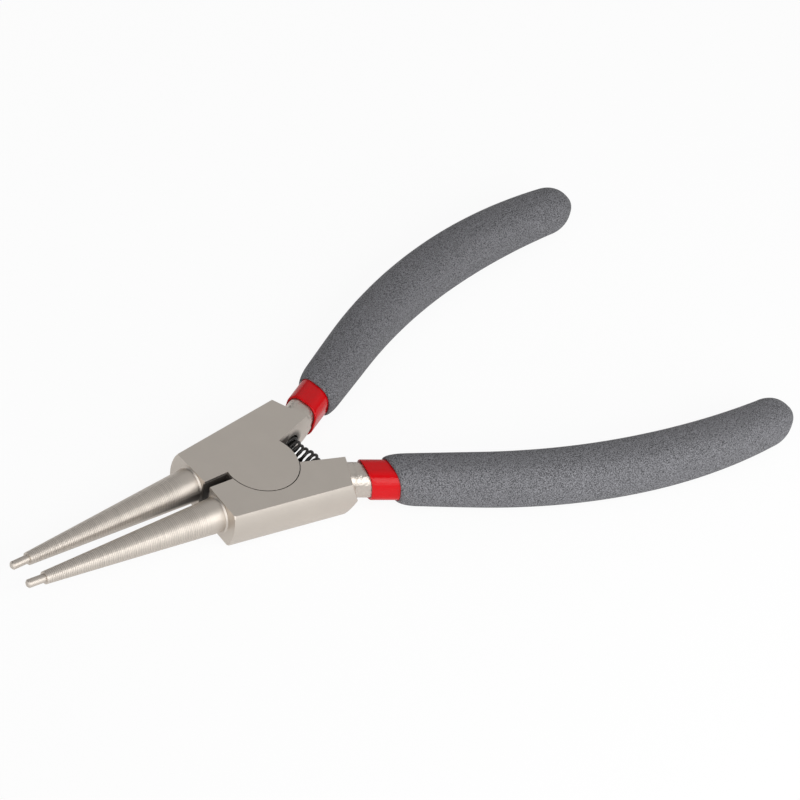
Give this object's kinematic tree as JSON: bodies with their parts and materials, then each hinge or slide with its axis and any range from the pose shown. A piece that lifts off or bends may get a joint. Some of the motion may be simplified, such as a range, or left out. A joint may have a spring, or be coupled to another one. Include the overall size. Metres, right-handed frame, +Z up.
{
  "type": "circlip pliers",
  "caption": "External circlip pliers with straight turned jaws, stepped tip pins, a sprung lap joint and soft dipped grips over a glossy inner sleeve.",
  "frame": {"origin": "on the pivot axis, at the flat underside of the joint", "axes": "+X from the pivot towards the handles, with the tips at -X; +Y towards the upper lever; +Z up, along the pivot axis"},
  "size_m": [0.1796, 0.0872, 0.012],
  "materials": {
    "nickel_steel": "satin nickel plate over forged and turned steel",
    "spring_steel": "blackened spring wire",
    "red_sleeve": "glossy red dipped vinyl",
    "grey_grip": "matt grey dipped vinyl with a fine grain"
  },
  "bodies": {
    "lower_half": {"lower_lever": "nickel_steel", "lower_sleeve": "red_sleeve", "lower_grip": "grey_grip", "return_spring": "spring_steel"},
    "upper_half": {"upper_lever": "nickel_steel", "upper_sleeve": "red_sleeve", "upper_grip": "grey_grip", "pivot_rivet": "nickel_steel"}
  },
  "joints": [
    {"name": "squeeze", "type": "hinge", "parent": "lower_half", "child": "upper_half", "pos_m": [0, 0, 0], "axis": [0, 0, -1], "range_deg": [-2.5, 24], "stiffness_Nm_per_rad": 0.2, "deforming": ["return_spring"]}
  ]
}
